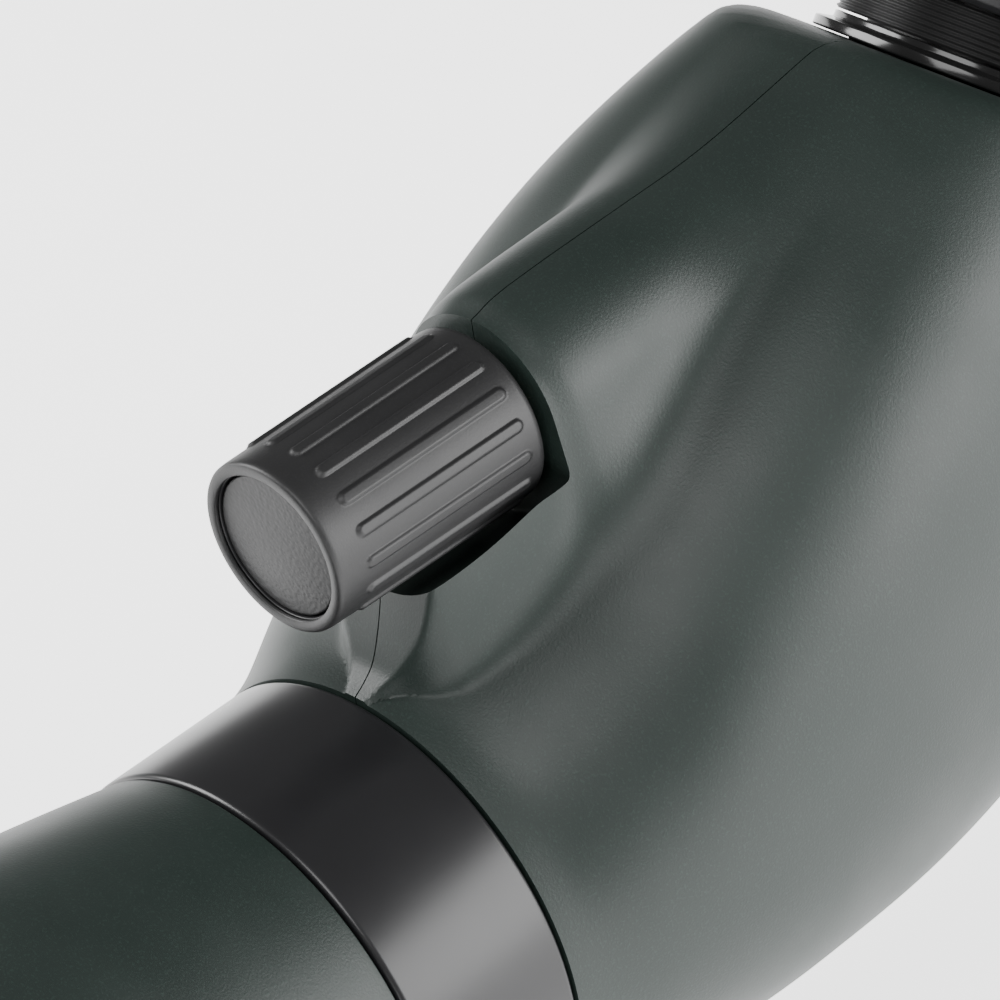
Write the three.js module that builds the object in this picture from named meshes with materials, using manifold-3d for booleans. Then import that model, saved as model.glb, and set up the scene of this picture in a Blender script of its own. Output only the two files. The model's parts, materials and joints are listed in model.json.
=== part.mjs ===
// An angled spotting scope: two green half shells round a roof prism, a flared objective barrel with a
// sliding sunshade, a rotating tripod collar, a ribbed focus knob on top and a zoom eyepiece.
// Millimetres, +Z up, objective towards -Y. The origin is the mouth of the tripod thread in the foot.
import * as THREE from "three";
import { LoftGeometry } from "three/addons/geometries/LoftGeometry.js";
import { mergeVertices } from "three/addons/utils/BufferGeometryUtils.js";
import Module from "manifold-3d";

const wasm = await Module();
wasm.setup();

// ---- Driving dimensions ----
const GAP = 0.3; // clearance between pieces that touch
const AXIS_Z = 56; // optical axis above the foot's face
const COLLAR_R = 35.4;
const COLLAR_BORE = 31.4;
const COLLAR_W = 25.5;
const BODY_Y = COLLAR_W / 2; // where the body's shells start
const WALL = 2.6;
const EYE_TILT = THREE.MathUtils.degToRad(50); // eyepiece axis above the optical axis
const EYE_FACE = 130; // distance of the eyepiece face from the body's start, along the eyepiece axis
const EYE_SHIFT = -54.5; // how far the eyepiece axis passes below the body's start
const KNOB_Z = 65.05; // focus knob's axis above the optical axis
const KNOB_R = 12.5;
const KNOB_FRONT = -8.7; // measured from the body's start, as every station below
const KNOB_REAR = 28.2;
const POCKET_R = 16;
const POCKET_END = 29.8;
const BARREL_R = 42.5;
const BARREL_FRONT = -172;
const SUNSHADE_R = 44.8;
const SUNSHADE_BORE = 43;
const LENS_R = 35.8;
const TUBE_R = 31;

// The body's outline at stations behind the collar: [station, half width, top, bottom, squareness].
const MAIN = [
  [0, 35.4, 35.4, -35.4, 2.0],
  [5, 36.6, 36.6, -35.4, 2.05],
  [15, 40.0, 42.0, -35.2, 2.15],
  [30, 44.0, 52.8, -34.8, 2.35],
  [50, 46.3, 65.3, -33.8, 2.5],
  [70, 46.5, 75.2, -32.2, 2.6],
  [90, 44.8, 82.3, -28.8, 2.6],
  [110, 40.8, 86.5, -22.0, 2.6],
  [125, 36.0, 86.0, -12.0, 2.6],
  [138, 29.5, 79.0, 3.0, 2.5],
  [147, 20.0, 62.0, 22.0, 2.4],
  [151, 9.0, 49.0, 36.0, 2.2],
];
// The ridge that carries the knob: [station, half width at the knob's axis, flank slope].
const RIDGE = [
  [0, 2, 0],
  [2, 3, 0],
  [4.3, 5, 0],
  [6.4, 8, 0],
  [8.5, 9.8, 0],
  [11, 11.2, 0],
  [16, 12.8, 0.02],
  [23, 14.2, 0.08],
  [29.5, 13.9, 0.2],
  [33.5, 15.1, 0.24],
  [41, 15.9, 0.28],
  [50, 16.3, 0.3],
  [62, 16.6, 0.3],
  [74, 16.8, 0.3],
  [108, 16.8, 0.3],
  [128, 12, 0.2],
  [141, 4, 0],
  [160, 1, 0],
];
// The ridge's steep front: [station, height].
const PROW = [
  [0, 35.4],
  [2.2, 36.9],
  [3.9, 38.7],
  [5.6, 42.6],
  [7.1, 47.4],
  [8.5, 54],
  [10, 64],
  [12, 74],
  [14, 81],
  [40, 110],
  [160, 140],
];
const RIDGE_FILLET = 1.6;
const PROW_FILLET = 2.5;
const FACE_FILLET = 5;

// ---- Materials ----
const finish = (color, roughness, metalness = 0) => new THREE.MeshStandardMaterial({ color, roughness, metalness });
const ARMOUR = finish(0x3c4a45, 0.62);
const ANODISED = finish(0x1c1c1e, 0.35, 0.6);
const BLACK_METAL = finish(0x151515, 0.4, 0.7);
const BLACK_PLASTIC = finish(0x222224, 0.6);
const RUBBER = finish(0x2a2a2c, 0.75);
const STEEL = finish(0xb0b0b0, 0.3, 1);
const BRASS = finish(0xb08a3e, 0.35, 1);
const GLASS = finish(0x9fb6b0, 0.05);
const NYLON = finish(0xd8d6cc, 0.6);

// ---- Solids ----
// A geometry as a manifold-3d solid: positions only, shared vertices merged.
function solid(geometry) {
  const bare = new THREE.BufferGeometry();
  const flat = geometry.index ? geometry.toNonIndexed() : geometry;
  bare.setAttribute("position", flat.getAttribute("position"));
  const merged = mergeVertices(bare, 1e-3);
  const corners = merged.index.array;
  const faces = [];
  for (let i = 0; i < corners.length; i += 3) {
    const [a, b, c] = corners.slice(i, i + 3);
    if (a !== b && b !== c && c !== a) faces.push(a, b, c);
  }
  const vertProperties = new Float32Array(merged.attributes.position.array);
  return new wasm.Manifold(new wasm.Mesh({ numProp: 3, vertProperties, triVerts: new Uint32Array(faces) }));
}

function geometryOf(manifold) {
  const { vertProperties, triVerts } = manifold.getMesh();
  const geometry = new THREE.BufferGeometry();
  geometry.setAttribute("position", new THREE.BufferAttribute(new Float32Array(vertProperties), 3));
  geometry.setIndex(new THREE.BufferAttribute(new Uint32Array(triVerts), 1));
  geometry.computeVertexNormals();
  return geometry;
}

// A profile of [radius, distance along the axis] turned about Y; a ring's profile closes on itself.
function turned(profile, sides = 20) {
  const points = profile.map(([r, y]) => new THREE.Vector2(r, y));
  const onAxis = profile[0][0] === 0 && profile.at(-1)[0] === 0;
  if (!onAxis) points.push(points[0].clone());
  if (THREE.ShapeUtils.area(points) < 0) points.reverse();
  return new THREE.LatheGeometry(points, sides);
}

const ring = (outer, inner, from, to, sides) =>
  turned([[inner, from], [outer, from], [outer, to], [inner, to]], sides);

const rod = (radius, from, to, sides = 12) => turned([[0, from], [radius, from], [radius, to], [0, to]], sides);

const box = (x, y, z, at) => new THREE.BoxGeometry(x, y, z).translate(...at);

// A flat outline of [y, z] points, extruded across X to half widths of x.
function sideExtrusion(outline, x) {
  const shape = new THREE.Shape(outline.map(([y, z]) => new THREE.Vector2(y, z)));
  const geometry = new THREE.ExtrudeGeometry(shape, { depth: 2 * x, bevelEnabled: false });
  return geometry.applyMatrix4(new THREE.Matrix4().set(0, 0, 1, -x, 1, 0, 0, 0, 0, 1, 0, 0, 0, 0, 0, 1));
}

function mesh(parent, name, shape, material) {
  const geometry = shape.isBufferGeometry ? shape : geometryOf(shape);
  const made = new THREE.Mesh(geometry, material);
  made.name = name;
  parent.add(made);
  return made;
}

// ---- Body surface ----
// A smooth curve through a table's rows, at one station.
function along(table, s) {
  const last = table.length - 1;
  const slope = (i, c) => (table[i + 1][c] - table[i][c]) / (table[i + 1][0] - table[i][0]);
  const tangent = (i, c) => {
    if (i === 0) return slope(0, c);
    if (i === last) return slope(last - 1, c);
    const before = table[i][0] - table[i - 1][0];
    const after = table[i + 1][0] - table[i][0];
    return (slope(i - 1, c) * after + slope(i, c) * before) / (before + after);
  };
  let i = 0;
  while (i < last - 1 && s >= table[i + 1][0]) i += 1;
  const h = table[i + 1][0] - table[i][0];
  const t = THREE.MathUtils.clamp((s - table[i][0]) / h, 0, 1);
  return table[i].slice(1).map((value, k) => {
    const c = k + 1;
    const start = (2 * t ** 3 - 3 * t ** 2 + 1) * value + (t ** 3 - 2 * t ** 2 + t) * h * tangent(i, c);
    return start + (3 * t ** 2 - 2 * t ** 3) * table[i + 1][c] + (t ** 3 - t ** 2) * h * tangent(i + 1, c);
  });
}

function smoothMax(a, b, k) {
  const h = THREE.MathUtils.clamp(0.5 + (0.5 * (a - b)) / k, 0, 1);
  return b + (a - b) * h + k * h * (1 - h);
}

const smoothMin = (a, b, k) => -smoothMax(-a, -b, k);

const LOW = 0.05; // rays flatter than this never meet the ridge or the eyepiece face
const FAR = 500;

// Distance from the section's centre to the body's skin, at a station and an angle from +X.
function skinRadius(s, angle) {
  const [width, top, bottom, square] = along(MAIN, s);
  const centre = (top + bottom) / 2;
  const height = (top - bottom) / 2;
  const c = Math.abs(Math.cos(angle));
  const n = Math.sin(angle);
  const main = ((c / width) ** square + Math.abs(n / height) ** square) ** (-1 / square);
  if (n <= LOW) return { r: main, centre };
  const [half, flank] = along(RIDGE, s);
  const lift = KNOB_Z - centre;
  const crown = half / Math.hypot(1, flank);
  const inside = crown ** 2 - (lift * c) ** 2;
  const onCrown = lift * n + Math.sqrt(Math.max(inside, 0));
  const tangentHeight = (crown * flank) / Math.hypot(1, flank);
  const onFlank = (half + lift * flank) / (c + n * flank);
  const ridge = inside > 0 && onCrown * n - lift > tangentHeight ? onCrown : onFlank;
  const prow = Math.min((along(PROW, s)[0] - centre) / n, FAR);
  const raised = smoothMax(main, smoothMin(ridge, prow, PROW_FILLET), RIDGE_FILLET);
  const face = (EYE_FACE - s * Math.cos(EYE_TILT) - centre * Math.sin(EYE_TILT)) / (n * Math.sin(EYE_TILT));
  return { r: smoothMin(raised, Math.min(face, FAR), FACE_FILLET), centre };
}

// The skin, or a surface inset from it along the station and the radius alike.
function bodyPoint(s, angle, inset) {
  const { r, centre } = skinRadius(s, angle);
  let radius = r;
  if (inset > 0) {
    const ahead = skinRadius(s + inset, angle);
    const behind = skinRadius(s - inset, angle);
    radius = Math.min(r, ahead.r, behind.r) - inset;
  }
  radius = Math.max(radius, 1);
  return new THREE.Vector3(radius * Math.cos(angle), s, centre + radius * Math.sin(angle));
}

// Sections have more corners near the top, where the ridge is narrow.
function bodyLoft(stations, around, inset = 0) {
  const sections = stations.map((s) => {
    const section = [];
    for (let k = 0; k < around; k += 1) {
      const u = 1 - (2 * (k + 0.5)) / around;
      section.push(bodyPoint(s, Math.PI * (0.5 + 0.35 * u + 0.65 * u ** 3), inset));
    }
    return section;
  });
  return solid(new LoftGeometry(sections, { capStart: true, capEnd: true }));
}

// ---- Groups ----
const scope = new THREE.Group();
const optics = new THREE.Group(); // along the optical axis
optics.position.set(0, 0, AXIS_Z);
const body = new THREE.Group(); // stations behind the collar
body.position.set(0, BODY_Y, AXIS_Z);
const eyepiece = new THREE.Group(); // its Y is the eyepiece axis
eyepiece.position.set(0, -Math.sin(EYE_TILT) * EYE_SHIFT, Math.cos(EYE_TILT) * EYE_SHIFT);
eyepiece.rotation.x = EYE_TILT;
body.add(eyepiece);
const knob = new THREE.Group();
knob.position.set(0, 0, KNOB_Z);
body.add(knob);
scope.add(optics, body);

// ---- Tripod collar, foot and lock screw ----
const FOOT_TOP = -39.2;
const FOOT_PLATE = 7;
const BUSHING_R = 5;
const SCREW_Y = 9;
const LOCK_ANGLE = THREE.MathUtils.degToRad(215); // from +X, in the XZ plane

function lockFrame(geometry) {
  // Turns a piece made along +Y so that +Y points out of the collar at the lock screw's angle.
  const out = new THREE.Vector3(Math.cos(LOCK_ANGLE), 0, Math.sin(LOCK_ANGLE));
  const turn = new THREE.Quaternion().setFromUnitVectors(new THREE.Vector3(0, 1, 0), out);
  return geometry.applyQuaternion(turn);
}

function collar() {
  const half = COLLAR_W / 2 - 0.2;
  const band = solid(
    turned(
      [
        [COLLAR_BORE, -half],
        [COLLAR_R - 0.5, -half],
        [COLLAR_R, -half + 0.5],
        [COLLAR_R, half - 0.5],
        [COLLAR_R - 0.5, half],
        [COLLAR_BORE, half],
      ],
      32,
    ),
  );
  const saddle = solid(box(24, 2 * half, 9, [0, 0, FOOT_TOP + 4.5 + GAP]));
  const boss = solid(lockFrame(rod(7, COLLAR_R - 2, COLLAR_R + 3.5, 18)));
  const bore = solid(rod(COLLAR_BORE, -half - 1, half + 1, 32));
  let cut = band.add(saddle).add(boss).subtract(bore);
  cut = cut.subtract(solid(lockFrame(rod(3.3, COLLAR_BORE - 2, COLLAR_R + 5, 14))));
  for (const y of [-SCREW_Y, SCREW_Y]) {
    cut = cut.subtract(solid(rod(2.3, 0, 6, 12).rotateX(Math.PI / 2).translate(0, y, FOOT_TOP - 1)));
  }
  mesh(optics, "collar_ring", cut, ANODISED);
}

function foot() {
  const base = new THREE.Shape();
  const [w, l, r] = [17, 22, 5];
  base.moveTo(-w + r, -l);
  base.lineTo(w - r, -l).absarc(w - r, -l + r, r, -Math.PI / 2, 0);
  base.lineTo(w, l - r).absarc(w - r, l - r, r, 0, Math.PI / 2);
  base.lineTo(-w + r, l).absarc(-w + r, l - r, r, Math.PI / 2, Math.PI);
  base.lineTo(-w, -l + r).absarc(-w + r, -l + r, r, Math.PI, 1.5 * Math.PI);
  const plate = new THREE.ExtrudeGeometry(base, { depth: FOOT_PLATE, bevelEnabled: false, curveSegments: 3 });
  const neckLength = COLLAR_W / 2 - 0.3;
  const neck = new THREE.Shape();
  neck.moveTo(-15, FOOT_PLATE - 1).quadraticCurveTo(-12, FOOT_PLATE, -12, AXIS_Z + FOOT_TOP);
  neck.lineTo(12, AXIS_Z + FOOT_TOP).quadraticCurveTo(12, FOOT_PLATE, 15, FOOT_PLATE - 1);
  const pillar = new THREE.ExtrudeGeometry(neck, { depth: 2 * neckLength, bevelEnabled: false, curveSegments: 3 });
  pillar.rotateX(Math.PI / 2).translate(0, neckLength, 0);
  let block = solid(plate).add(solid(pillar));
  const upright = (geometry, y) => solid(geometry.rotateX(Math.PI / 2).translate(0, y, 0));
  block = block.subtract(upright(rod(BUSHING_R + GAP, -1, 13, 20), 0));
  for (const y of [-SCREW_Y, SCREW_Y]) {
    block = block.subtract(upright(rod(3.3, -1, 5.2, 12), y)).subtract(upright(rod(2.3, 4, 30, 12), y));
    const screw = turned([[0, 0.6], [3, 0.6], [3, 4.9], [2, 4.9], [2, 20.5], [0, 20.5]], 12);
    mesh(scope, y < 0 ? "foot_screw_front" : "foot_screw_rear", screw.rotateX(Math.PI / 2).translate(0, y, 0), STEEL);
  }
  mesh(scope, "foot_block", block, ANODISED);
  const bushing = turned([[3.2, 0], [BUSHING_R, 0], [BUSHING_R, 12.5], [0, 12.5], [0, 11], [3.2, 11]], 20);
  bushing.rotateX(Math.PI / 2);
  mesh(scope, "tripod_bushing", bushing, BRASS);
}

function lockScrew() {
  mesh(optics, "lock_shoe", lockFrame(rod(2.8, TUBE_R + GAP, TUBE_R + 2.3, 14)), NYLON);
  const stud = rod(2.8, TUBE_R + 2.6, COLLAR_R + 16, 14);
  mesh(optics, "lock_stud", lockFrame(stud), STEEL);
  const start = COLLAR_R + 4.2;
  const grip = turned(
    [
      [3.1, start],
      [6.5, start],
      [6.5, start + 2.5],
      [9.5, start + 4],
      [9.5, start + 12],
      [8.5, start + 13.5],
      [0, start + 13.5],
      [0, start + 12.4],
      [3.1, start + 12.4],
    ],
    20,
  );
  mesh(optics, "lock_knob", lockFrame(grip), BLACK_PLASTIC);
}

// ---- Body shells ----
const SHELL_SCREWS = [
  [22, -25.5],
  [102, -13],
  [75, 57],
  [138, 26],
];

function shells() {
  const front = [0.2, 2.2, 4, 5.6, 7, 8.4, 10.5, 14];
  const rest = [21, 29, 36, 46, 58, 70, 82, 94, 105, 115, 124, 132, 139, 145, 149.5];
  const outer = bodyLoft([...front, ...rest], 38);
  const inner = bodyLoft([3, 9, 14, 26, 40, 56, 74, 92, 108, 122, 134, 143], 24, WALL);
  const pocket = solid(rod(POCKET_R, -30, POCKET_END, 28).translate(0, 0, KNOB_Z));
  const pocketSkin = solid(rod(POCKET_R + 2.2, -30, POCKET_END + 2.4, 20).translate(0, 0, KNOB_Z));
  const tubeBore = solid(rod(TUBE_R + GAP, -5, 16, 28));
  const bushHole = solid(rod(5.3, 20, 40, 14).translate(0, 0, KNOB_Z));
  const eyeHole = solid(rod(18, EYE_FACE - 25, EYE_FACE + 20, 22).applyMatrix4(eyepieceMatrix()));
  let shell = outer.subtract(inner.subtract(pocketSkin)).subtract(pocket);
  let leftBosses = null;
  let rightBosses = null;
  let rightHoles = null;
  const across = (geometry, [s, z]) => solid(geometry.rotateZ(Math.PI / 2).translate(0, s, z));
  const joined = (all, one) => (all ? all.add(one) : one);
  for (const at of SHELL_SCREWS) {
    // rotateZ turns +Y into -X, so positive distances lie in the right half.
    leftBosses = joined(leftBosses, across(rod(4, -48, -0.15, 8), at).subtract(across(rod(1.6, -14, 1, 8), at)));
    rightBosses = joined(rightBosses, across(rod(4.6, 0.15, 48, 10), at));
    rightHoles = joined(rightHoles, across(rod(3.2, 6, 60, 10), at).add(across(rod(1.6, -1, 8, 8), at)));
  }
  const openings = tubeBore.add(bushHole).add(eyeHole);
  shell = shell.subtract(openings);
  const halfSpace = (side) => solid(box(80, 220, 220, [side * (40 + GAP / 2), 70, 20]));
  const left = shell.add(outer.intersect(leftBosses)).intersect(halfSpace(1));
  const right = shell.add(outer.intersect(rightBosses)).subtract(rightHoles).intersect(halfSpace(-1));
  mesh(body, "body_shell_left", left, ARMOUR);
  mesh(body, "body_shell_right", right, ARMOUR);
  SHELL_SCREWS.forEach(([s, z], i) => {
    const screw = turned([[0, -12], [1.25, -12], [1.25, 6.3], [2.6, 6.3], [2.6, 8.3], [0, 8.3]], 10);
    mesh(body, `shell_screw_${i + 1}`, screw.rotateZ(Math.PI / 2).translate(0, s, z), STEEL);
  });
}

function eyepieceMatrix() {
  const tilt = new THREE.Matrix4().makeRotationX(EYE_TILT);
  return tilt.setPosition(0, -Math.sin(EYE_TILT) * EYE_SHIFT, Math.cos(EYE_TILT) * EYE_SHIFT);
}

// ---- Barrel, objective and sunshade ----
function barrel() {
  const rear = -COLLAR_W - 0.2;
  const outer = [
    [34.9, rear],
    [38.6, rear - 20],
    [41.2, rear - 36],
    [BARREL_R, rear - 48],
    [BARREL_R, -150],
    [41.3, -150.3],
    [41.3, -155],
    [BARREL_R, -155.3],
    [BARREL_R, BARREL_FRONT],
  ];
  const inner = [
    [40, BARREL_FRONT],
    [40, rear - 48],
    [36, rear - 29],
    [32.6, rear - 10],
    [TUBE_R + GAP, rear - 10],
    [TUBE_R + GAP, rear],
  ];
  mesh(body, "objective_barrel", turned([...outer, ...inner], 28), ARMOUR);
  mesh(body, "main_tube", ring(TUBE_R, 28.4, rear - 9.4, 11.4, 28), BLACK_METAL);
  mesh(body, "barrel_baffle_rear", ring(35.4, 26, rear - 28.4, rear - 27.4, 20), BLACK_METAL);
  mesh(body, "barrel_baffle_front", ring(39.6, 31, -108, -107, 20), BLACK_METAL);
  mesh(body, "sunshade_friction_ring", ring(42.7, 41.6, -154.7, -150.6, 28), NYLON);
}

function lensProfile(radius, rear, front, rearBulge, frontBulge, steps = 3) {
  const profile = [];
  for (let i = 0; i <= steps; i += 1) {
    const r = (radius * i) / steps;
    profile.push([r, front - frontBulge * (1 - (r / radius) ** 2)]);
  }
  for (let i = steps; i >= 0; i -= 1) {
    const r = (radius * i) / steps;
    profile.push([r, rear + rearBulge * (1 - (r / radius) ** 2)]);
  }
  return profile;
}

function objective() {
  const cell = [
    [LENS_R + GAP, -168.5],
    [39.7, -168.5],
    [39.7, -150],
    [33, -150],
    [33, -151.5],
    [LENS_R + GAP, -151.5],
  ];
  mesh(body, "objective_cell", turned(cell, 28), BLACK_METAL);
  mesh(body, "objective_crown_lens", turned(lensProfile(LENS_R, -160.2, -164.4, 3, 3.4), 22), GLASS);
  mesh(body, "lens_spacer", ring(LENS_R, 34.2, -159.6, -158.8, 20), BLACK_METAL);
  mesh(body, "objective_flint_lens", turned(lensProfile(LENS_R, -151.9, -158.4, 1, -3.4), 22), GLASS);
  mesh(body, "lens_retaining_ring", ring(LENS_R, 33.6, -167.6, -165.2, 20), BLACK_METAL);
}

function sunshade() {
  const front = BARREL_FRONT - 10;
  const tube = [
    [SUNSHADE_BORE, front],
    [SUNSHADE_R, front],
    [SUNSHADE_R, front + 54],
    [SUNSHADE_R - 0.8, front + 55],
    [SUNSHADE_BORE, front + 55],
  ];
  mesh(body, "sunshade_tube", turned(tube, 28), ANODISED);
  const rim = [
    [SUNSHADE_BORE, front - GAP],
    [SUNSHADE_R + 1.2, front - GAP],
    [SUNSHADE_R + 1.2, front - 3.6],
    [SUNSHADE_R + 0.4, front - 4.4],
    [SUNSHADE_BORE, front - 4.4],
  ];
  mesh(body, "sunshade_rim", turned(rim, 28), RUBBER);
}

// ---- Focus knob, lead screw and carriage ----
const RIBS = 15;
const CARRIAGE = 46; // station of the focusing lens's middle at rest
const ROD_X = 24;

function knobGrip() {
  const sleeve = turned(
    [
      [11.3, KNOB_FRONT],
      [KNOB_R - 1.1, KNOB_FRONT],
      [KNOB_R - 0.4, KNOB_FRONT + 0.9],
      [KNOB_R - 0.2, KNOB_FRONT + 3],
      [KNOB_R, KNOB_REAR - 1],
      [KNOB_R - 0.5, KNOB_REAR],
      [11.3, KNOB_REAR],
    ],
    30,
  );
  let grip = solid(sleeve);
  const length = KNOB_REAR - KNOB_FRONT - 8.5;
  for (let i = 0; i < RIBS; i += 1) {
    const rib = box(1.8, length, 1, [0, KNOB_FRONT + 5.5 + length / 2, KNOB_R - 0.1]);
    grip = grip.add(solid(rib.rotateY((2 * Math.PI * i) / RIBS)));
  }
  return grip;
}

function focusKnob() {
  const core = [
    [3.3, KNOB_FRONT + 3],
    [10.5, KNOB_FRONT + 3],
    [10.5, KNOB_FRONT + 0.2],
    [11, KNOB_FRONT + 0.2],
    [11, KNOB_REAR - 0.4],
    [9, KNOB_REAR - 0.4],
    [9, KNOB_REAR - 12],
    [5.5, KNOB_REAR - 12],
    [5.5, KNOB_REAR - 0.6],
    [3.3, KNOB_REAR - 0.6],
  ];
  mesh(knob, "knob_core", turned(core, 18), BLACK_PLASTIC);
  mesh(knob, "knob_grip", knobGrip(), RUBBER);
  mesh(knob, "knob_cap", rod(10.2, KNOB_FRONT + 0.4, KNOB_FRONT + 2.2, 22), BLACK_PLASTIC);
  const shaft = [
    [0, KNOB_FRONT + 3.4],
    [3, KNOB_FRONT + 3.4],
    [3, 36],
    [2.6, 37],
    [2.6, 66],
    [0, 66],
  ];
  mesh(knob, "focus_shaft", turned(shaft, 14), STEEL);
  const bushing = [
    [3.3, 28.8],
    [5, 28.8],
    [5, 32.7],
    [8, 32.7],
    [8, 34.4],
    [3.3, 34.4],
  ];
  mesh(knob, "shaft_bushing", turned(bushing, 14), BRASS);
  mesh(knob, "shaft_clip", ring(5.6, 3.3, 34.8, 35.8, 14), STEEL);
}

function carriage() {
  let frame = solid(rod(19, CARRIAGE - 4, CARRIAGE + 4, 22));
  frame = frame.add(solid(box(2 * ROD_X + 7, 6, 8, [0, CARRIAGE, 0])));
  frame = frame.add(solid(box(9, 6, 46, [0, CARRIAGE, 38])));
  frame = frame.add(solid(rod(7.5, CARRIAGE - 3, CARRIAGE + 3, 14).translate(0, 0, KNOB_Z)));
  frame = frame.subtract(solid(rod(15.3, CARRIAGE - 6, CARRIAGE + 6, 22)));
  frame = frame.subtract(solid(rod(5.1, CARRIAGE - 6, CARRIAGE + 6, 14).translate(0, 0, KNOB_Z)));
  for (const x of [-ROD_X, ROD_X]) {
    frame = frame.subtract(solid(rod(1.8, CARRIAGE - 6, CARRIAGE + 6, 8).translate(x, 0, 0)));
  }
  mesh(body, "focus_carriage", frame, BLACK_METAL);
  mesh(body, "focus_lens", turned(lensProfile(15, CARRIAGE + 2.5, CARRIAGE - 2.5, -1.2, -1.2), 20), GLASS);
  mesh(knob, "lead_nut", ring(4.8, 2.9, CARRIAGE - 4, CARRIAGE + 4, 14), BRASS);
}

// ---- Prism and its bracket ----
function prismUnit() {
  let front = solid(ring(28.5, 21, 14, 17, 22));
  let plate = solid(box(54, 3, 41, [0, 63.5, 6.5])).add(solid(box(40, 3, 10, [0, 63.5, -16.5])));
  plate = plate.add(solid(box(36, 28, 3, [0, 77, -20])));
  plate = plate.subtract(solid(rod(17, 60, 67, 20)));
  for (const x of [-ROD_X, ROD_X]) {
    front = front.subtract(solid(rod(1.8, 10, 20, 8).translate(x, 0, 0)));
    plate = plate.subtract(solid(rod(1.8, 60, 67, 8).translate(x, 0, 0)));
    mesh(body, x < 0 ? "guide_rod_right" : "guide_rod_left", rod(1.5, 14.2, 64.8, 10).translate(x, 0, 0), STEEL);
  }
  mesh(body, "front_bracket", front, BLACK_METAL);
  mesh(body, "prism_bracket", plate, BLACK_METAL);
  const outline = [
    [66, -17],
    [84, -17],
    [90, 2.3],
    [70, 19.1],
    [66, 17],
  ];
  mesh(body, "roof_prism", sideExtrusion(outline, 15), GLASS);
  const clip = [
    [65.3, 17.4],
    [69.7, 19.7],
    [69.7, 21],
    [65.3, 18.7],
  ];
  mesh(body, "prism_clip", sideExtrusion(clip, 8), STEEL);
}

// ---- Zoom eyepiece ----
const BARREL_TOP = 182;
const RING_FROM = 140.3;
const RING_TO = 172;

function eyepieceMount() {
  const flange = [
    [16.5, 121],
    [17.7, 121],
    [17.7, EYE_FACE + GAP],
    [23.2, EYE_FACE + GAP],
    [23.2, 131.8],
    [20.8, 132.3],
    [20.8, 133.3],
    [16.5, 133.3],
  ];
  mesh(eyepiece, "eyepiece_flange", turned(flange, 28), ANODISED);
  mesh(eyepiece, "camera_thread_ring", ring(21, 16.5, 133.6, 140, 28), BLACK_METAL);
  mesh(eyepiece, "eyepiece_barrel", ring(16.2, 14.5, 118, BARREL_TOP, 22), BLACK_METAL);
  mesh(eyepiece, "field_stop", ring(12.6, 8, 119, 120, 16), BLACK_METAL);
  mesh(eyepiece, "field_lens", turned(lensProfile(12.6, 126, 122, 1.5, 0.3), 18), GLASS);
  mesh(eyepiece, "eye_lens", turned(lensProfile(11.6, 179, 174, 1.4, 1.4), 18), GLASS);
  mesh(eyepiece, "eye_lens_ring", ring(14.2, 12.1, 173.5, 180.5, 20), BLACK_METAL);
}

function zoomRing() {
  const core = [
    [16.5, RING_FROM],
    [22.4, RING_FROM],
    [23.2, RING_FROM + 0.8],
    [23.2, RING_TO - 1],
    [22.2, RING_TO],
    [16.5, RING_TO],
  ];
  mesh(eyepiece, "zoom_ring", turned(core, 24), BLACK_PLASTIC);
  let grip = solid(ring(25, 23.5, 147, 167, 24));
  for (let i = 0; i < 15; i += 1) {
    const rib = box(2.6, 18, 1.4, [0, 157, 25]);
    grip = grip.add(solid(rib.rotateY((2 * Math.PI * i) / 15)));
  }
  mesh(eyepiece, "zoom_grip", grip, RUBBER);
  mesh(eyepiece, "zoom_cam_sleeve", ring(14.2, 13, 127, 168, 20), BRASS);
  const cell = (name, from, to) => mesh(eyepiece, name, ring(12.7, 10.4, from, to, 18), BLACK_METAL);
  cell("zoom_cell_field", 130, 137);
  cell("zoom_cell_eye", 158, 165);
  mesh(eyepiece, "zoom_lens_field", turned(lensProfile(10, 135, 132, -0.6, -0.6), 14), GLASS);
  mesh(eyepiece, "zoom_lens_eye", turned(lensProfile(10, 163.5, 159.5, 1.1, 1.1), 14), GLASS);
}

function eyecup() {
  mesh(eyepiece, "eyecup_guide", ring(18, 16.5, 173, 187, 20), BLACK_METAL);
  mesh(eyepiece, "eyecup_core", ring(20.6, 18.3, 172.6, 190, 22), BLACK_PLASTIC);
  const rubber = [
    [20.9, 174],
    [23.9, 174],
    [23.9, 190],
    [22.6, 197.2],
    [19.4, 197.2],
    [18.6, 196],
    [18.6, 190.3],
    [20.9, 190.3],
  ];
  mesh(eyepiece, "eyecup_rubber", turned(rubber, 22), RUBBER);
}

collar();
foot();
lockScrew();
shells();
barrel();
objective();
sunshade();
focusKnob();
carriage();
prismUnit();
eyepieceMount();
zoomRing();
eyecup();

export default scope;
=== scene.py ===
"""The looks of the angled spotting scope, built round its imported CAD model. Lengths are millimetres
until a mesh is made, and metres after that."""

import json
import math

import bmesh
import bpy
import numpy as np
from mathutils import Matrix, Vector


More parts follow.
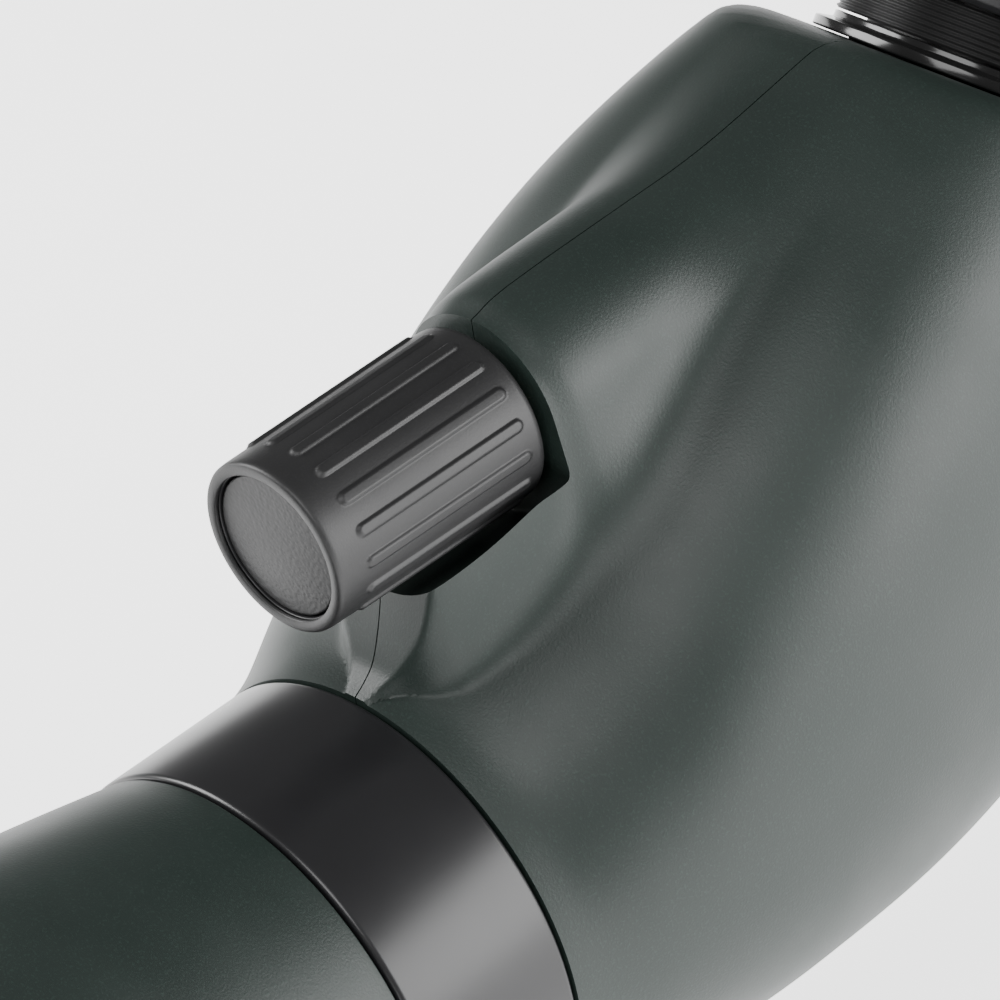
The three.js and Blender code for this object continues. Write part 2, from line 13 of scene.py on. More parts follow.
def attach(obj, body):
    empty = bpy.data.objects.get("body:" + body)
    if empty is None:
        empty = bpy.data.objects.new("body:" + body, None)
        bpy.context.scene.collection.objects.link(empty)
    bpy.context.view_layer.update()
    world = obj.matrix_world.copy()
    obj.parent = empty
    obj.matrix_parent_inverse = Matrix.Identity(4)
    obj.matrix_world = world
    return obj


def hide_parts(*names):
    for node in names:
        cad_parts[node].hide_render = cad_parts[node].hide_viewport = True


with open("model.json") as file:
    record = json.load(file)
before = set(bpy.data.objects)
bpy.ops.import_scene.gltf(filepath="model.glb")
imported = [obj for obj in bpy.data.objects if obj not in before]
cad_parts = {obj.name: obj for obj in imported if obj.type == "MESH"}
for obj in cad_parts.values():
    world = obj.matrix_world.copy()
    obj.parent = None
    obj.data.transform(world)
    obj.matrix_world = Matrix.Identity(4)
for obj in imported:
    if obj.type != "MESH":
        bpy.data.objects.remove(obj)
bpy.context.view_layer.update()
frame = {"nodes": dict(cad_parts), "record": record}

# ---- Driving dimensions, as in the CAD ----
AXIS_Z = 56.0
BODY_Y = 12.75
EYE_TILT = math.radians(50)
EYE_SHIFT = -54.5
EYE_FACE = 130.0
KNOB_Z = 65.05
KNOB_R = 12.5
KNOB_FRONT = -8.7
KNOB_REAR = 28.2
POCKET_R = 16.0
POCKET_END = 29.8
COLLAR_R = 35.4
BARREL_R = 42.5
BARREL_FRONT = -172.0
SUNSHADE_R = 44.8
LOCK_ANGLE = math.radians(215)
# The camera thread's ridges, where the CAD has a plain cylinder.
THREAD_R = 21
THREAD_ROOT_R = 20.55
THREAD_PITCH = 0.8
THREAD_TURNS = 8
# The knob grip's ribs, more of them than on the CAD's plainer grip.
RIBS = 17
RIB_TURN = math.radians(-5.65)
RIB_HEIGHT = 0.4
RIB_HALF_WIDTH = 0.95
RIB_SHOULDER = 0.4
RIB_END = 0.9
# Rounding: points on each filleted corner, and the angle in degrees above which an edge stays sharp.
CORNER_STEPS = 4
SMOOTH_ANGLE = 35

OPTICS = Matrix.Translation((0, 0, AXIS_Z))
BODY = Matrix.Translation((0, BODY_Y, AXIS_Z))
KNOB = Matrix.Translation((0, BODY_Y, AXIS_Z + KNOB_Z))
EYEPIECE = (
    BODY
    @ Matrix.Translation((0, -math.sin(EYE_TILT) * EYE_SHIFT, math.cos(EYE_TILT) * EYE_SHIFT))
    @ Matrix.Rotation(EYE_TILT, 4, "X")
)
LOCK_OUT = Vector((math.cos(LOCK_ANGLE), 0, math.sin(LOCK_ANGLE)))
LOCK = OPTICS @ Vector((0, 1, 0)).rotation_difference(LOCK_OUT).to_matrix().to_4x4()

# The body's outline behind the collar: station, half width, top, bottom, squareness.
MAIN = np.array([
    (0, 35.4, 35.4, -35.4, 2.0),
    (5, 36.6, 36.6, -35.4, 2.05),
    (15, 40.0, 42.0, -35.2, 2.15),
    (30, 44.0, 52.8, -34.8, 2.35),
    (50, 46.3, 65.3, -33.8, 2.5),
    (70, 46.5, 75.2, -32.2, 2.6),
    (90, 44.8, 82.3, -28.8, 2.6),
    (110, 40.8, 86.5, -22.0, 2.6),
    (125, 36.0, 86.0, -12.0, 2.6),
    (138, 29.5, 79.0, 3.0, 2.5),
    (147, 20.0, 62.0, 22.0, 2.4),
    (151, 9.0, 49.0, 36.0, 2.2),
])
# The ridge under the knob: station, half width at the knob's axis, flank slope.
RIDGE = np.array([
    (0, 2, 0),
    (2, 3, 0),
    (4.3, 5, 0),
    (6.4, 8, 0),
    (8.5, 9.8, 0),
    (11, 11.2, 0),
    (16, 12.8, 0.02),
    (23, 14.2, 0.08),
    (29.5, 13.9, 0.2),
    (33.5, 15.1, 0.24),
    (41, 15.9, 0.28),
    (50, 16.3, 0.3),
    (62, 16.6, 0.3),
    (74, 16.8, 0.3),
    (108, 16.8, 0.3),
    (128, 12, 0.2),
    (141, 4, 0),
    (160, 1, 0),
])
# The ridge's steep front: station, height.
PROW = np.array([
    (0, 35.4),
    (2.2, 36.9),
    (3.9, 38.7),
    (5.6, 42.6),
    (7.1, 47.4),
    (8.5, 54),
    (10, 64),
    (12, 74),
    (14, 81),
    (40, 110),
    (160, 140),
])
WALL = 2.6
# Blends between the body's surfaces, and the shrink that keeps the skin inside the CAD's box.
VALLEY_TIGHT = 0.8
VALLEY_GROWTH = 0.8
VALLEY_BROAD = 8
PROW_BLEND = 2.5
FACE_BLEND = 5.0
SKIN_SCALE = 0.9985


# ---- Meshes ----
def new_piece(name, vertices, faces, place, material, smooth_angle=SMOOTH_ANGLE):
    mesh = bpy.data.meshes.new(name)
    mesh.from_pydata([tuple(v) for v in vertices], [], faces)
    mesh.transform(Matrix.Scale(0.001, 4) @ place)
    mesh.validate()
    piece = bpy.data.objects.new(name, mesh)
    bpy.context.scene.collection.objects.link(piece)
    if material is not None:
        mesh.materials.append(material)
    shade(piece, smooth_angle)
    return piece


def shade(piece, angle=35):
    piece.data.shade_smooth()
    piece.data.set_sharp_from_angle(angle=math.radians(angle))


def filleted(profile, radius, closed):
    """The profile with each corner rounded, as far as its neighbours leave room."""
    points = [Vector(p) for p in profile]
    count = len(points)
    out = []
    for i, p in enumerate(points):
        if not closed and i in (0, count - 1):
            out.append(p)
            continue
        before = points[i - 1] - p
        after = points[(i + 1) % count] - p
        turn = math.pi - before.angle(after)
        if turn < math.radians(12):
            out.append(p)
            continue
        reach = min(radius * math.tan(turn / 2), 0.45 * before.length, 0.45 * after.length)
        start = p + before.normalized() * reach
        end = p + after.normalized() * reach
        for k in range(CORNER_STEPS + 1):
            t = k / CORNER_STEPS
            out.append((1 - t) ** 2 * start + 2 * t * (1 - t) * p + t * t * end)
    return out


def turned(name, profile, place, material, sides=160, fillet=0.25, warp=None, smooth_angle=SMOOTH_ANGLE):
    """A profile of (radius, distance along the axis) turned about Y. warp(radius, y, angle) gives
    a new radius."""
    closed = not (profile[0][0] == 0 and profile[-1][0] == 0)
    points = filleted(profile, fillet, closed) if fillet else [Vector(p) for p in profile]
    area = sum(a[0] * b[1] - b[0] * a[1] for a, b in zip(points, points[1:] + points[:1]))
    if area < 0:
        points.reverse()
    vertices = []
    rows = []
    for r, y in points:
        if r < 1e-6:
            rows.append([len(vertices)] * sides)
            vertices.append((0, y, 0))
            continue
        row = []
        for k in range(sides):
            a = 2 * math.pi * k / sides
            radius = warp(r, y, a) if warp else r
            row.append(len(vertices))
            vertices.append((radius * math.sin(a), y, radius * math.cos(a)))
        rows.append(row)
    faces = []
    pairs = list(zip(rows, rows[1:])) + ([(rows[-1], rows[0])] if closed else [])
    for low, high in pairs:
        for k in range(sides):
            n = (k + 1) % sides
            face = []
            for v in (low[k], low[n], high[n], high[k]):
                if v not in face:
                    face.append(v)
            if len(face) > 2:
                faces.append(face)
    return new_piece(name, vertices, faces, place, material, smooth_angle)


def ring(name, outer, inner, start, end, place, material, **more):
    return turned(name, [(inner, start), (outer, start), (outer, end), (inner, end)], place, material, **more)


def rod(name, radius, start, end, place, material, **more):
    return turned(name, [(0, start), (radius, start), (radius, end), (0, end)], place, material, **more)


def block(name, size, centre, place):
    x, y, z = (s / 2 for s in size)
    signs = [(a, b, c) for a in (-1, 1) for b in (-1, 1) for c in (-1, 1)]
    corners = [Vector(centre) + Vector((a * x, b * y, c * z)) for a, b, c in signs]
    faces = [(0, 1, 3, 2), (4, 6, 7, 5), (0, 4, 5, 1), (2, 3, 7, 6), (0, 2, 6, 4), (1, 5, 7, 3)]
    return new_piece(name, corners, faces, place, None)


def combine(piece, tool, operation):
    """A boolean of two solids; the tool is used up."""
    modifier = piece.modifiers.new("cut", "BOOLEAN")
    modifier.object = tool
    modifier.operation = operation
    modifier.solver = "EXACT"
    depsgraph = bpy.context.evaluated_depsgraph_get()
    mesh = bpy.data.meshes.new_from_object(piece.evaluated_get(depsgraph))
    piece.modifiers.clear()
    materials = list(piece.data.materials)
    piece.data = mesh
    mesh.materials.clear()
    for material in materials:
        mesh.materials.append(material)
    bpy.data.objects.remove(tool)
    shade(piece, SMOOTH_ANGLE)
    return piece


def cut(piece, tool):
    return combine(piece, tool, "DIFFERENCE")


def join(piece, tool):
    return combine(piece, tool, "UNION")


# ---- Body surface ----
def along(table, s):
    x = table[:, 0]
    values = table[:, 1:]
    gaps = np.diff(x)
    slopes = np.diff(values, axis=0) / gaps[:, None]
    tangents = np.empty_like(values)
    tangents[0] = slopes[0]
    tangents[-1] = slopes[-1]
    weights = (gaps[:-1] + gaps[1:])[:, None]
    tangents[1:-1] = (slopes[:-1] * gaps[1:, None] + slopes[1:] * gaps[:-1, None]) / weights
    i = int(np.clip(np.searchsorted(x, s, side="right") - 1, 0, len(x) - 2))
    h = gaps[i]
    t = min(max((s - x[i]) / h, 0), 1)
    start = (2 * t**3 - 3 * t**2 + 1) * values[i] + (t**3 - 2 * t**2 + t) * h * tangents[i]
    return start + (3 * t**2 - 2 * t**3) * values[i + 1] + (t**3 - t**2) * h * tangents[i + 1]


def smooth_max(a, b, k):
    h = np.clip(0.5 + 0.5 * (a - b) / k, 0, 1)
    return b + (a - b) * h + k * h * (1 - h)


def smooth_min(a, b, k):
    return -smooth_max(-a, -b, k)


def skin_radius(s, angle):
    """Distance of the body's skin from the section's centre, and the centre's height."""
    width, top, bottom, square = along(MAIN, s)
    centre = (top + bottom) / 2
    height = (top - bottom) / 2
    c = np.abs(np.cos(angle))
    n = np.sin(angle)
    main = ((c / width) ** square + np.abs(n / height) ** square) ** (-1 / square)
    up = n > 0.05
    rise = np.where(up, n, 1)
    half, flank = along(RIDGE, s)
    lift = KNOB_Z - centre
    crown = half / math.hypot(1, flank)
    inside = crown**2 - (lift * c) ** 2
    on_crown = lift * n + np.sqrt(np.maximum(inside, 0))
    tangent_height = crown * flank / math.hypot(1, flank)
    on_flank = (half + lift * flank) / (c + rise * flank)
    ridge = np.where((inside > 0) & (on_crown * n - lift > tangent_height), on_crown, on_flank)
    prow = np.minimum((along(PROW, s)[0] - centre) / rise, 500)
    # The valley beside the ridge is tight at the collar and broad behind it.
    valley = min(max(VALLEY_TIGHT + VALLEY_GROWTH * s, VALLEY_TIGHT), VALLEY_BROAD)
    raised = smooth_max(main, smooth_min(ridge, prow, PROW_BLEND), valley)
    face = (EYE_FACE - s * math.cos(EYE_TILT) - centre * math.sin(EYE_TILT)) / (rise * math.sin(EYE_TILT))
    raised = smooth_min(raised, np.minimum(face, 500), FACE_BLEND)
    return np.where(up, raised, main), centre


def body_solid(name, stations, around, inset, material):
    u = 1 - 2 * (np.arange(around) + 0.5) / around
    angle = np.pi * (0.5 + 0.35 * u + 0.65 * u**3)
    vertices = []
    for s in stations:
        r, centre = skin_radius(s, angle)
        if inset:
            ahead = skin_radius(s + inset, angle)[0]
            behind = skin_radius(s - inset, angle)[0]
            r = np.minimum(np.minimum(r, ahead), behind) - inset
        r = np.maximum(r * SKIN_SCALE, 1)
        for k in range(around):
            vertices.append((r[k] * math.cos(angle[k]), s, centre + r[k] * math.sin(angle[k])))
    faces = []
    for i in range(len(stations) - 1):
        for k in range(around):
            n = (k + 1) % around
            faces.append((i * around + k, i * around + n, (i + 1) * around + n, (i + 1) * around + k))
    last = (len(stations) - 1) * around
    faces.append(tuple(reversed(range(around))))
    faces.append(tuple(last + k for k in range(around)))
    piece = new_piece(name, vertices, faces, BODY, material)
    bm = bmesh.new()
    bm.from_mesh(piece.data)
    bmesh.ops.recalc_face_normals(bm, faces=bm.faces)
    bm.to_mesh(piece.data)
    bm.free()
    return piece


# ---- Materials ----
def finish(
    name,
    colour,
    roughness,
    grain=0.4,
    depth=0.02,
    mottle=0.12,
    speckle=0.0,
    wear=0.15,
    cells=False,
    **sockets,
):
    """Colour with soft mottling and fine specks, roughness that varies, a grain of that size and depth in
    millimetres, and paler edges."""
    material = bpy.data.materials.new(name)
    material.use_nodes = True
    nodes = material.node_tree.nodes
    link = material.node_tree.links.new
    shader = nodes["Principled BSDF"]
    for socket, value in sockets.items():
        shader.inputs[socket].default_value = value
    where = nodes.new("ShaderNodeTexCoord")

    def noise(scale, detail):
        node = nodes.new("ShaderNodeTexNoise")
        node.inputs["Scale"].default_value = scale
        node.inputs["Detail"].default_value = detail
        link(where.outputs["Object"], node.inputs["Vector"])
        return node.outputs["Fac"]

    def remap(value, low, high, out_low, out_high):
        node = nodes.new("ShaderNodeMapRange")
        node.inputs["From Min"].default_value = low
        node.inputs["From Max"].default_value = high
        node.inputs["To Min"].default_value = out_low
        node.inputs["To Max"].default_value = out_high
        link(value, node.inputs["Value"])
        return node.outputs["Result"]

    def mixed(factor, a, b):
        node = nodes.new("ShaderNodeMix")
        node.data_type = "RGBA"
        link(factor, node.inputs["Factor"])
        for value, key in ((a, 6), (b, 7)):
            if isinstance(value, tuple):
                node.inputs[key].default_value = value
            else:
                link(value, node.inputs[key])
        return node.outputs[2]

    def shaded(k):
        return tuple(min(c * k, 1) for c in colour) + (1,)

    broad = noise(45, 4)
    fine = noise(1000 / grain, 3)
    tone = mixed(remap(broad, 0.3, 0.7, 0, 1), shaded(1 - mottle), shaded(1 + mottle))
    if speckle:
        tone = mixed(remap(fine, 0.56, 0.68, 0, speckle), tone, shaded(2.2))
    if wear:
        geometry = nodes.new("ShaderNodeNewGeometry")
        edge = remap(geometry.outputs["Pointiness"], 0.54, 0.62, 0, wear)
        tone = mixed(edge, tone, shaded(2.6))
    link(tone, shader.inputs["Base Color"])
    link(remap(broad, 0.3, 0.7, roughness * 0.9, roughness * 1.1), shader.inputs["Roughness"])
    bump = nodes.new("ShaderNodeBump")
    bump.inputs["Strength"].default_value = 1
    bump.inputs["Distance"].default_value = depth / 1000
    height = fine
    if cells:
        pattern = nodes.new("ShaderNodeTexVoronoi")
        pattern.feature = "SMOOTH_F1"
        pattern.inputs["Scale"].default_value = 1000 / grain
        link(where.outputs["Object"], pattern.inputs["Vector"])
        height = pattern.outputs["Distance"]
    link(height, bump.inputs["Height"])
    link(bump.outputs["Normal"], shader.inputs["Normal"])
    return material


ARMOUR = finish(
    "armour_skin",
    (0.010, 0.0175, 0.0145),
    0.47,
    grain=0.35,
    depth=0.035,
    mottle=0.06,
    speckle=0.45,
    wear=0.1,
)
ANODISED = finish("satin_anodised", (0.012, 0.012, 0.013), 0.3, grain=0.25, depth=0.003, mottle=0.1)
BLACK_METAL = finish("black_metal", (0.01, 0.01, 0.01), 0.4, grain=0.3, depth=0.004)
BLACK_GLOSS = finish("gloss_black", (0.008, 0.008, 0.008), 0.16, grain=0.4, depth=0.001, wear=0.05)
BLACK_PLASTIC = finish("black_plastic", (0.012, 0.012, 0.013), 0.45, grain=0.4, depth=0.012, wear=0)
RUBBER = finish("grip_rubber", (0.011, 0.011, 0.0115), 0.48, grain=0.3, depth=0.02, speckle=0.3, wear=0)
LEATHERETTE = finish("knob_cap_grain", (0.010, 0.010, 0.0105), 0.5, grain=0.6, depth=0.05, wear=0, cells=True)
STEEL = finish("steel", (0.55, 0.55, 0.56), 0.3, grain=0.2, depth=0.003, mottle=0.08, Metallic=1.0)
BRASS = finish("brass", (0.62, 0.46, 0.22), 0.32, grain=0.2, depth=0.003, mottle=0.1, Metallic=1.0)
NYLON = finish("nylon", (0.6, 0.58, 0.53), 0.55, grain=0.4, depth=0.008)
GLASS = finish(
    "coated_glass",
    (0.80, 0.90, 0.86),
    0.02,
    grain=2.0,
    depth=0.0,
    mottle=0.02,
    wear=0,
    IOR=1.52,
    **{
        "Transmission Weight": 1.0,
        "Coat Weight": 0.6,
        "Coat Roughness": 0.02,
        "Coat Tint": (0.7, 0.92, 0.8, 1),
    },
)

CAD_FINISH = {
    "anodised": ANODISED,
    "armour": ARMOUR,
    "black_metal": BLACK_METAL,
    "black_plastic": BLACK_PLASTIC,
    "brass": BRASS,
    "grip_rubber": RUBBER,
    "lens_glass": GLASS,
    "nylon": NYLON,
    "steel": STEEL,
}


def settle(piece, body, node):
    """The piece moves with the body and stands for the CAD node."""
    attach(piece, body)
    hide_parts(node)


# ---- Body shells ----
def shells():
    front = np.arange(0.2, 16, 0.4)
    middle = np.concatenate([np.arange(16, 28, 1.2), np.arange(28, 34, 0.6)])
    rear = np.concatenate([np.arange(34, 130, 2.4), np.arange(130, 149.6, 1)])
    skin = body_solid("skin", np.concatenate([front, middle, rear]), 200, 0, ARMOUR)
    hollow = body_solid("hollow", [3, 9, 14, 26, 40, 56, 74, 92, 108, 122, 134, 143], 48, WALL, None)
    high = BODY @ Matrix.Translation((0, 0, KNOB_Z))
    hollow = cut(hollow, rod("t", POCKET_R + 2.2, -30, POCKET_END + 2.4, high, None, sides=64, fillet=0))
    skin = cut(skin, hollow)
    skin = cut(skin, rod("t", POCKET_R, -30, POCKET_END, high, None, sides=180, fillet=0.8))
    skin = cut(skin, rod("t", 31.3, -5, 16, BODY, None, sides=120, fillet=0))
    skin = cut(skin, rod("t", 5.3, 20, 40, high, None, sides=48, fillet=0))
    skin = cut(skin, rod("t", 18, EYE_FACE - 25, EYE_FACE + 20, EYEPIECE, None, sides=120, fillet=0))
    for side, name in ((1, "left"), (-1, "right")):
        half = skin.copy()
        half.data = skin.data.copy()
        half.name = half.data.name = f"shell_{name}"
        bpy.context.scene.collection.objects.link(half)
        half = combine(half, block("t", (80, 220, 220), (side * 40.1, 70, 20), BODY), "INTERSECT")
        if side < 0:
            for s, z in ((22, -25.5), (102, -13), (75, 57), (138, 26)):
                across = BODY @ Matrix.Translation((0, s, z)) @ Matrix.Rotation(math.pi / 2, 4, "Z")
                half = cut(half, rod("t", 3.2, 6, 60, across, None, sides=40, fillet=0))
        settle(half, "scope", f"body_shell_{name}")
    bpy.data.objects.remove(skin)


# ---- Collar ----
def collar():
    half = 12.55
    profile = [(31.4, -half), (COLLAR_R, -half), (COLLAR_R, half), (31.4, half)]
    band = turned("collar_band", profile, OPTICS, ANODISED, sides=240, fillet=0.9)
    band = join(band, block("t", (24, 2 * half - 0.4, 9), (0, 0, -34.4), OPTICS))
    band = join(band, rod("t", 7, COLLAR_R - 2, COLLAR_R + 3.5, LOCK, None, sides=64, fillet=0.5))
    band = cut(band, rod("t", 31.4, -14, 14, OPTICS, None, sides=240, fillet=0))
    band = cut(band, rod("t", 3.3, 29, 41, LOCK, None, sides=40, fillet=0))
    settle(band, "collar", "collar_ring")


def lock_knob():
    start = COLLAR_R + 4.2
    profile = [
        (3.1, start),
        (6.5, start),
        (6.5, start + 2.5),
        (9.5, start + 3.7),
        *[(9.5, start + y) for y in np.arange(4.2, 12, 0.4)],
        (9.5, start + 12.2),
        (8.4, start + 13.5),
        (0, start + 13.5),
        (0, start + 12.4),
        (3.1, start + 12.4),
    ]

    def knurl(r, y, a):
        if r < 9.4:
            return r
        ends = min(max((y - start - 4) / 0.8, 0), 1) * min(max((start + 12 - y) / 0.8, 0), 1)
        return r - 0.5 * ends * (0.5 + 0.5 * math.cos(24 * a)) ** 2

    piece = turned("lock_thumb_knob", profile, LOCK, BLACK_PLASTIC, sides=288, warp=knurl)
    settle(piece, "lock_screw", "lock_knob")


# ---- Barrel, objective and sunshade ----
FLARE = np.array([
    (-73.7, BARREL_R),
    (-66, 41.95),
    (-55, 40.3),
    (-45, 38.6),
    (-35, 36.85),
    (-25.7, 35.1),
])


def barrel():
    rear = [(float(along(FLARE, s)[0]), s) for s in np.arange(-25.7, -73.7, -1.5)]
    profile = [
        *rear,
        (BARREL_R, -73.7),
        (BARREL_R, -150),
        (41.3, -150.3),
        (41.3, -155),
        (BARREL_R, -155.3),
        (BARREL_R, BARREL_FRONT),
        (40, BARREL_FRONT),
        (40, -73.7),
        (36, -54.7),
        (32.6, -35.7),
        (31.3, -35.7),
        (31.3, -25.7),
    ]
    piece = turned("barrel_skin", profile, BODY, ARMOUR, sides=240, fillet=0.35)
    settle(piece, "scope", "objective_barrel")
    front = BARREL_FRONT - 10
    tube = [(43, front), (SUNSHADE_R, front), (SUNSHADE_R, front + 55), (43, front + 55)]
    piece = turned("sunshade_sleeve", tube, BODY, ANODISED, sides=240, fillet=0.5)
    settle(piece, "sunshade", "sunshade_tube")
    rim = [(43, front - 0.3), (46, front - 0.3), (46, front - 3.6), (45.2, front - 4.4), (43, front - 4.4)]
    piece = turned("sunshade_bumper", rim, BODY, RUBBER, sides=240, fillet=0.8)
    settle(piece, "sunshade", "sunshade_rim")


def lens(name, radius, rear, front, rear_bulge, front_bulge, place, body, node):
    steps = 14
    profile = []
    for i in range(steps + 1):
        share = i / steps
        profile.append((radius * share, front - front_bulge * (1 - share**2)))
    for i in range(steps, -1, -1):
        share = i / steps
        profile.append((radius * share, rear + rear_bulge * (1 - share**2)))
    piece = turned(name, profile, place, GLASS, sides=128, fillet=0)
    settle(piece, body, node)


def optics():
    cell = [(36.1, -168.5), (39.7, -168.5), (39.7, -150), (33, -150), (33, -151.5), (36.1, -151.5)]
    settle(turned("objective_seat", cell, BODY, BLACK_METAL), "scope", "objective_cell")
    keeper = ring("objective_keeper", 35.8, 33.6, -167.6, -165.2, BODY, BLACK_METAL)
    settle(keeper, "scope", "lens_retaining_ring")
    lens("objective_front_lens", 35.8, -160.2, -164.4, 3, 3.4, BODY, "scope", "objective_crown_lens")
    lens("objective_rear_lens", 35.8, -151.9, -158.4, 1, -3.4, BODY, "scope", "objective_flint_lens")
    lens("eye_front_lens", 11.6, 179, 174, 1.4, 1.4, EYEPIECE, "scope", "eye_lens")


# ---- Focus knob ----
def focus_knob():
    first = KNOB_FRONT + 4.9
    last = KNOB_REAR - 2.7

    def ribs(r, y, a):
        if r < 12.0 or not first < y < last:
            return r
        pitch = 2 * math.pi / RIBS
        off = abs((a + RIB_TURN + pitch / 2) % pitch - pitch / 2) * r
        reach = min(y - first, last - y)
        if reach < RIB_END:
            off = math.hypot(off, RIB_END - reach)
        return r + RIB_HEIGHT * min(max((RIB_HALF_WIDTH - off) / RIB_SHOULDER, 0), 1) ** 0.6

    along_side = np.arange(KNOB_FRONT + 1.4, KNOB_REAR - 0.8, 0.28)
    side = [(KNOB_R - 0.05 + 0.3 * (y - KNOB_FRONT) / 37, y) for y in along_side]
    profile = [
        (11.3, KNOB_FRONT + 0.5),
        (10.6, KNOB_FRONT + 0.5),
        (10.6, KNOB_FRONT + 0.15),
        (10.75, KNOB_FRONT),
        (KNOB_R - 0.6, KNOB_FRONT),
        (KNOB_R - 0.3, KNOB_FRONT + 0.15),
        (KNOB_R - 0.12, KNOB_FRONT + 0.45),
        (KNOB_R - 0.07, KNOB_FRONT + 0.9),
        *side,
        (KNOB_R + 0.1, KNOB_REAR - 0.3),
        (KNOB_R - 0.3, KNOB_REAR),
        (11.3, KNOB_REAR),
    ]
    grip = turned("knob_rubber_grip", profile, KNOB, RUBBER, sides=600, fillet=0, warp=ribs, smooth_angle=60)
    settle(grip, "focus_knob", "knob_grip")
    core = [
        (3.3, KNOB_FRONT + 3),
        (10.5, KNOB_FRONT + 3),
        (10.5, KNOB_FRONT + 0.7),
        (11.0, KNOB_FRONT + 0.7),
        (11.0, KNOB_REAR - 0.4),
        (9, KNOB_REAR - 0.4),
        (9, KNOB_REAR - 12),
        (5.5, KNOB_REAR - 12),
        (5.5, KNOB_REAR - 0.6),
        (3.3, KNOB_REAR - 0.6),
    ]
    settle(turned("knob_hub", core, KNOB, BLACK_PLASTIC), "focus_knob", "knob_core")
    cap = rod("knob_end_disc", 10.25, KNOB_FRONT + 0.9, KNOB_FRONT + 2.4, KNOB, LEATHERETTE, fillet=0.35)
    settle(cap, "focus_knob", "knob_cap")


# ---- Eyepiece ----
def eyepiece():
    flange = [
        (16.5, 121),
        (17.7, 121),
        (17.7, EYE_FACE + 0.3),
        (23.2, EYE_FACE + 0.3),
        (23.2, 131.8),
        (20.8, 132.3),
        (20.8, 133.3),
        (16.5, 133.3),
    ]
    piece = turned("eyepiece_seat", flange, EYEPIECE, BLACK_GLOSS, fillet=0.3)
    settle(piece, "scope", "eyepiece_flange")
    thread = [(16.5, 133.6)]
    for k in range(THREAD_TURNS):
        thread += [(THREAD_ROOT_R, 133.6 + THREAD_PITCH * k), (THREAD_R, 134.0 + THREAD_PITCH * k)]
    thread += [(THREAD_ROOT_R, 140), (16.5, 140)]
    piece = turned("camera_thread", thread, EYEPIECE, BLACK_METAL, fillet=0.08)
    settle(piece, "scope", "camera_thread_ring")
    piece = ring("eyepiece_tube", 16.2, 14.5, 118, 182, EYEPIECE, BLACK_METAL)
    settle(piece, "scope", "eyepiece_barrel")
    piece = ring("eye_lens_keeper", 14.2, 12.1, 173.5, 180.5, EYEPIECE, BLACK_METAL)
    settle(piece, "scope", "eye_lens_ring")
    core = [(16.5, 140.3), (22.4, 140.3), (23.2, 141.1), (23.2, 171), (22.2, 172), (16.5, 172)]
    piece = turned("zoom_barrel", core, EYEPIECE, BLACK_PLASTIC, fillet=0.4)
    settle(piece, "zoom", "zoom_ring")

    def flutes(r, y, a):
        if r < 24.5:
            return r
        ends = min(max((y - 147.6) / 1.2, 0), 1) * min(max((166.4 - y) / 1.2, 0), 1)
        wave = 0.5 + 0.5 * math.cos(30 * a)
        return r + 0.7 * ends * min(wave * 2, 1) - 0.1

    fluted = [(25, y) for y in np.arange(147.6, 166.5, 0.5)]
    grip = [(23.5, 147), (24.6, 147), *fluted, (24.6, 167), (23.5, 167)]
    piece = turned("zoom_rubber_grip", grip, EYEPIECE, RUBBER, sides=360, fillet=0, warp=flutes)
    settle(piece, "zoom", "zoom_grip")
    piece = ring("eyecup_sleeve", 18, 16.5, 173, 187, EYEPIECE, BLACK_METAL)
    settle(piece, "eyecup_lift", "eyecup_guide")
    piece = ring("eyecup_body", 20.6, 18.3, 172.6, 190, EYEPIECE, BLACK_PLASTIC)
    settle(piece, "eyecup", "eyecup_core")
    rubber = [
        (20.9, 174),
        (23.9, 174),
        (23.9, 189),
        (23.2, 194.5),
        (22.4, 197.2),
        (19.4, 197.2),
        (18.6, 195.5),
        (18.6, 190.3),
        (20.9, 190.3),
    ]
    piece = turned("eyecup_soft_rim", rubber, EYEPIECE, RUBBER, fillet=1.0)
    settle(piece, "eyecup", "eyecup_rubber")


# ---- Carried-over CAD nodes ----
def dress_cad_nodes():
    slots = {part["node"]: part["material_slot"] for part in frame["record"]["subparts"]}
    for name, node in frame["nodes"].items():
        node.data.materials.clear()
        node.data.materials.append(CAD_FINISH[slots[name]])
    block_edge = frame["nodes"]["foot_block"].modifiers.new("rounded_edges", "BEVEL")
    block_edge.width = 0.0006
    block_edge.segments = 3
    block_edge.limit_method = "ANGLE"
    block_edge.angle_limit = math.radians(40)


# ---- Floor, light and camera ----
TARGET = Vector((0, 0.042584, 0.105882))
AZIMUTH = math.radians(50.138)
ELEVATION = math.radians(34.827)
ROLL = math.radians(-9.032)
DISTANCE = 0.78245
LENS_MM = 213.34
FLOOR_REACH = 4000
FLOOR_Z = -0.2

BACK = Vector((
    math.sin(AZIMUTH) * math.cos(ELEVATION),
    -math.cos(AZIMUTH) * math.cos(ELEVATION),
    math.sin(ELEVATION),
))
RIGHT = Vector((math.cos(AZIMUTH), math.sin(AZIMUTH), 0))
UP = BACK.cross(RIGHT)


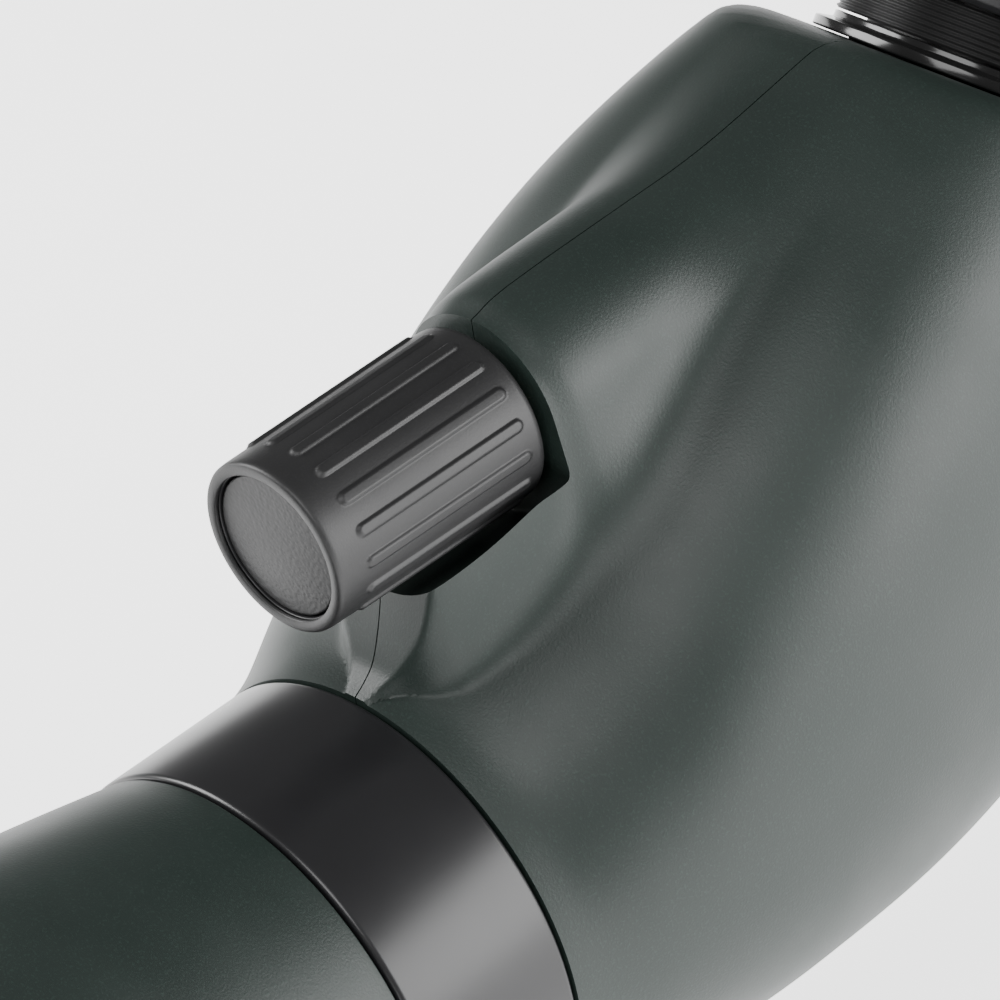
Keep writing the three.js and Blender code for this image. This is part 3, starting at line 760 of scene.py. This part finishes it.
def softbox(name, direction, distance, width, height, power):
    data = bpy.data.lights.new(name, "AREA")
    data.shape = "RECTANGLE"
    data.size = width
    data.size_y = height
    data.energy = power
    light = bpy.data.objects.new(name, data)
    direction = direction.normalized()
    light.location = TARGET + direction * distance
    light.rotation_euler = direction.to_track_quat("Z", "Y").to_euler()
    bpy.context.scene.collection.objects.link(light)


def studio():
    reach = FLOOR_REACH
    corners = ((-reach, -reach), (reach, -reach), (reach, reach), (-reach, reach))
    vertices = [(x, y, FLOOR_Z) for x, y in corners]
    glow = {"Emission Color": (1, 1, 1, 1), "Emission Strength": 2.2}
    paper = finish("paper", (0.88, 0.88, 0.88), 0.9, grain=3, depth=0.01, mottle=0.01, wear=0, **glow)
    floor = new_piece("floor", vertices, [(0, 1, 2, 3)], Matrix.Identity(4), paper)
    world = bpy.data.worlds.new("studio")
    bpy.context.scene.world = world
    world.use_nodes = True
    world.node_tree.nodes["Background"].inputs["Color"].default_value = (1, 1, 1, 1)
    world.node_tree.nodes["Background"].inputs["Strength"].default_value = 0.2
    up = Vector((0, 0, 1))
    softbox("key", RIGHT * 0.85 + BACK * 0.35 + up * 0.02, 1.2, 1.1, 0.7, 20)
    softbox("rim", RIGHT * -0.8 - BACK * 0.35 + up * 0.7, 1.1, 0.6, 0.6, 16)
    softbox("top", Vector((0.35, -0.5, 0.8)), 1.1, 0.6, 0.6, 7)


def camera():
    data = bpy.data.cameras.new("camera")
    data.lens = LENS_MM
    data.sensor_width = 36
    data.clip_start = 0.05
    data.clip_end = 20
    seen = bpy.data.objects.new("camera", data)
    across = math.cos(ROLL) * RIGHT + math.sin(ROLL) * UP
    upright = -math.sin(ROLL) * RIGHT + math.cos(ROLL) * UP
    turn = Matrix((across, upright, BACK)).transposed().to_4x4()
    seen.matrix_world = Matrix.Translation(TARGET + BACK * DISTANCE) @ turn
    bpy.context.scene.collection.objects.link(seen)
    bpy.context.scene.camera = seen


dress_cad_nodes()
shells()
collar()
lock_knob()
barrel()
optics()
focus_knob()
eyepiece()
studio()
camera()
